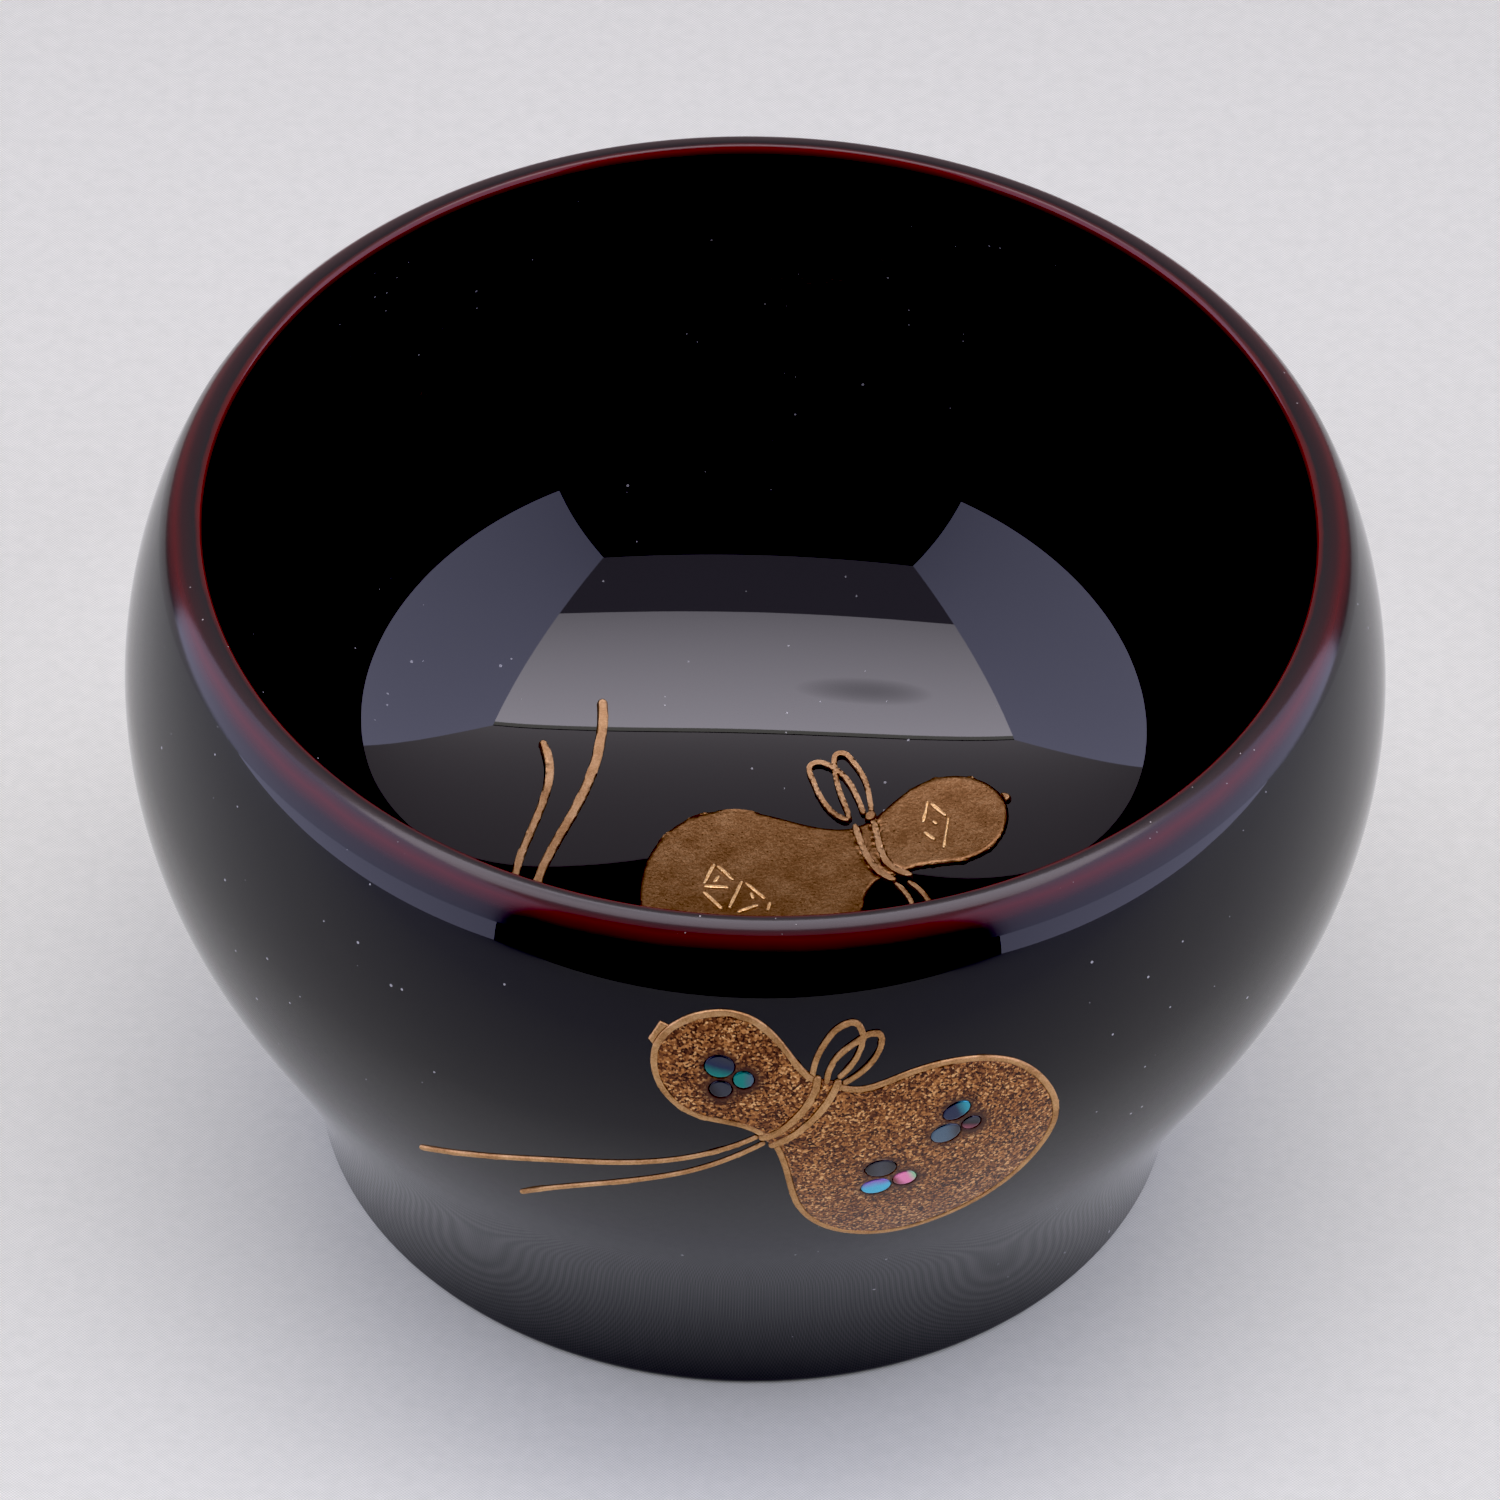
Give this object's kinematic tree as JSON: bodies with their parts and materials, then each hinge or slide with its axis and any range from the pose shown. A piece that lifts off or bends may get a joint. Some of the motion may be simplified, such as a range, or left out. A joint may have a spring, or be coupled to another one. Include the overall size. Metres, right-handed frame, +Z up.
{
  "type": "lacquered bowl",
  "caption": "Round-bellied turned wooden bowl in gloss black lacquer with a red-brown lip, raised gold gourd pictures and shell inlay, on a low ring foot, to hold sweets or food.",
  "frame": {"origin": "on the bowl's axis, in the plane that its foot ring stands on", "axes": "+Z up along the bowl's axis; the outside picture faces -Y; +X is to the right of someone who faces the picture"},
  "size_m": [0.1242, 0.1244, 0.077],
  "materials": {
    "turned_wood": "turned, sealed under the lacquer",
    "black_lacquer": "polished black lacquer",
    "lip_lacquer": "thin black over red lacquer, worn at the edges",
    "gold_flake_ground": "sprinkled gold flakes under clear lacquer",
    "raised_gold_ground": "built-up gold powder, matt",
    "gold_line": "raised gold powder line, matt",
    "shell_inlay": "iridescent shell under clear lacquer"
  },
  "bodies": {
    "root": {"foot_ring_lacquer": "black_lacquer", "inner_bow": "gold_line", "inner_cord_inner": "gold_line", "inner_cord_outer": "gold_line", "inner_crest_large_left": "gold_line", "inner_crest_large_right": "gold_line", "inner_crest_small_bulb": "gold_line", "inner_gourd_large": "raised_gold_ground", "inner_gourd_neck": "raised_gold_ground", "inner_gourd_small": "raised_gold_ground", "inner_gourd_stem": "raised_gold_ground", "inner_knot": "gold_line", "inner_lacquer": "black_lacquer", "inner_neck_turn_left": "gold_line", "inner_neck_turn_right": "gold_line", "lip_lacquer": "lip_lacquer", "outer_bow": "gold_line", "outer_cord_tail_lower": "gold_line", "outer_cord_tail_upper": "gold_line", "outer_gourd_large_ground": "gold_flake_ground", "outer_gourd_large_outline": "gold_line", "outer_gourd_neck_ground": "gold_flake_ground", "outer_gourd_small_ground": "gold_flake_ground", "outer_gourd_small_outline": "gold_line", "outer_gourd_stem": "gold_line", "outer_lacquer": "black_lacquer", "outer_neck_turn_lower": "gold_line", "outer_neck_turn_upper": "gold_line", "recess_lacquer": "black_lacquer", "shell_base_left": "shell_inlay", "shell_base_right": "shell_inlay", "shell_base_upper": "shell_inlay", "shell_neck_end_large": "shell_inlay", "shell_neck_end_lower": "shell_inlay", "shell_neck_end_right": "shell_inlay", "shell_shoulder_lower": "shell_inlay", "shell_shoulder_right": "shell_inlay", "shell_shoulder_upper": "shell_inlay", "wood_core": "turned_wood"}
  },
  "joints": []
}
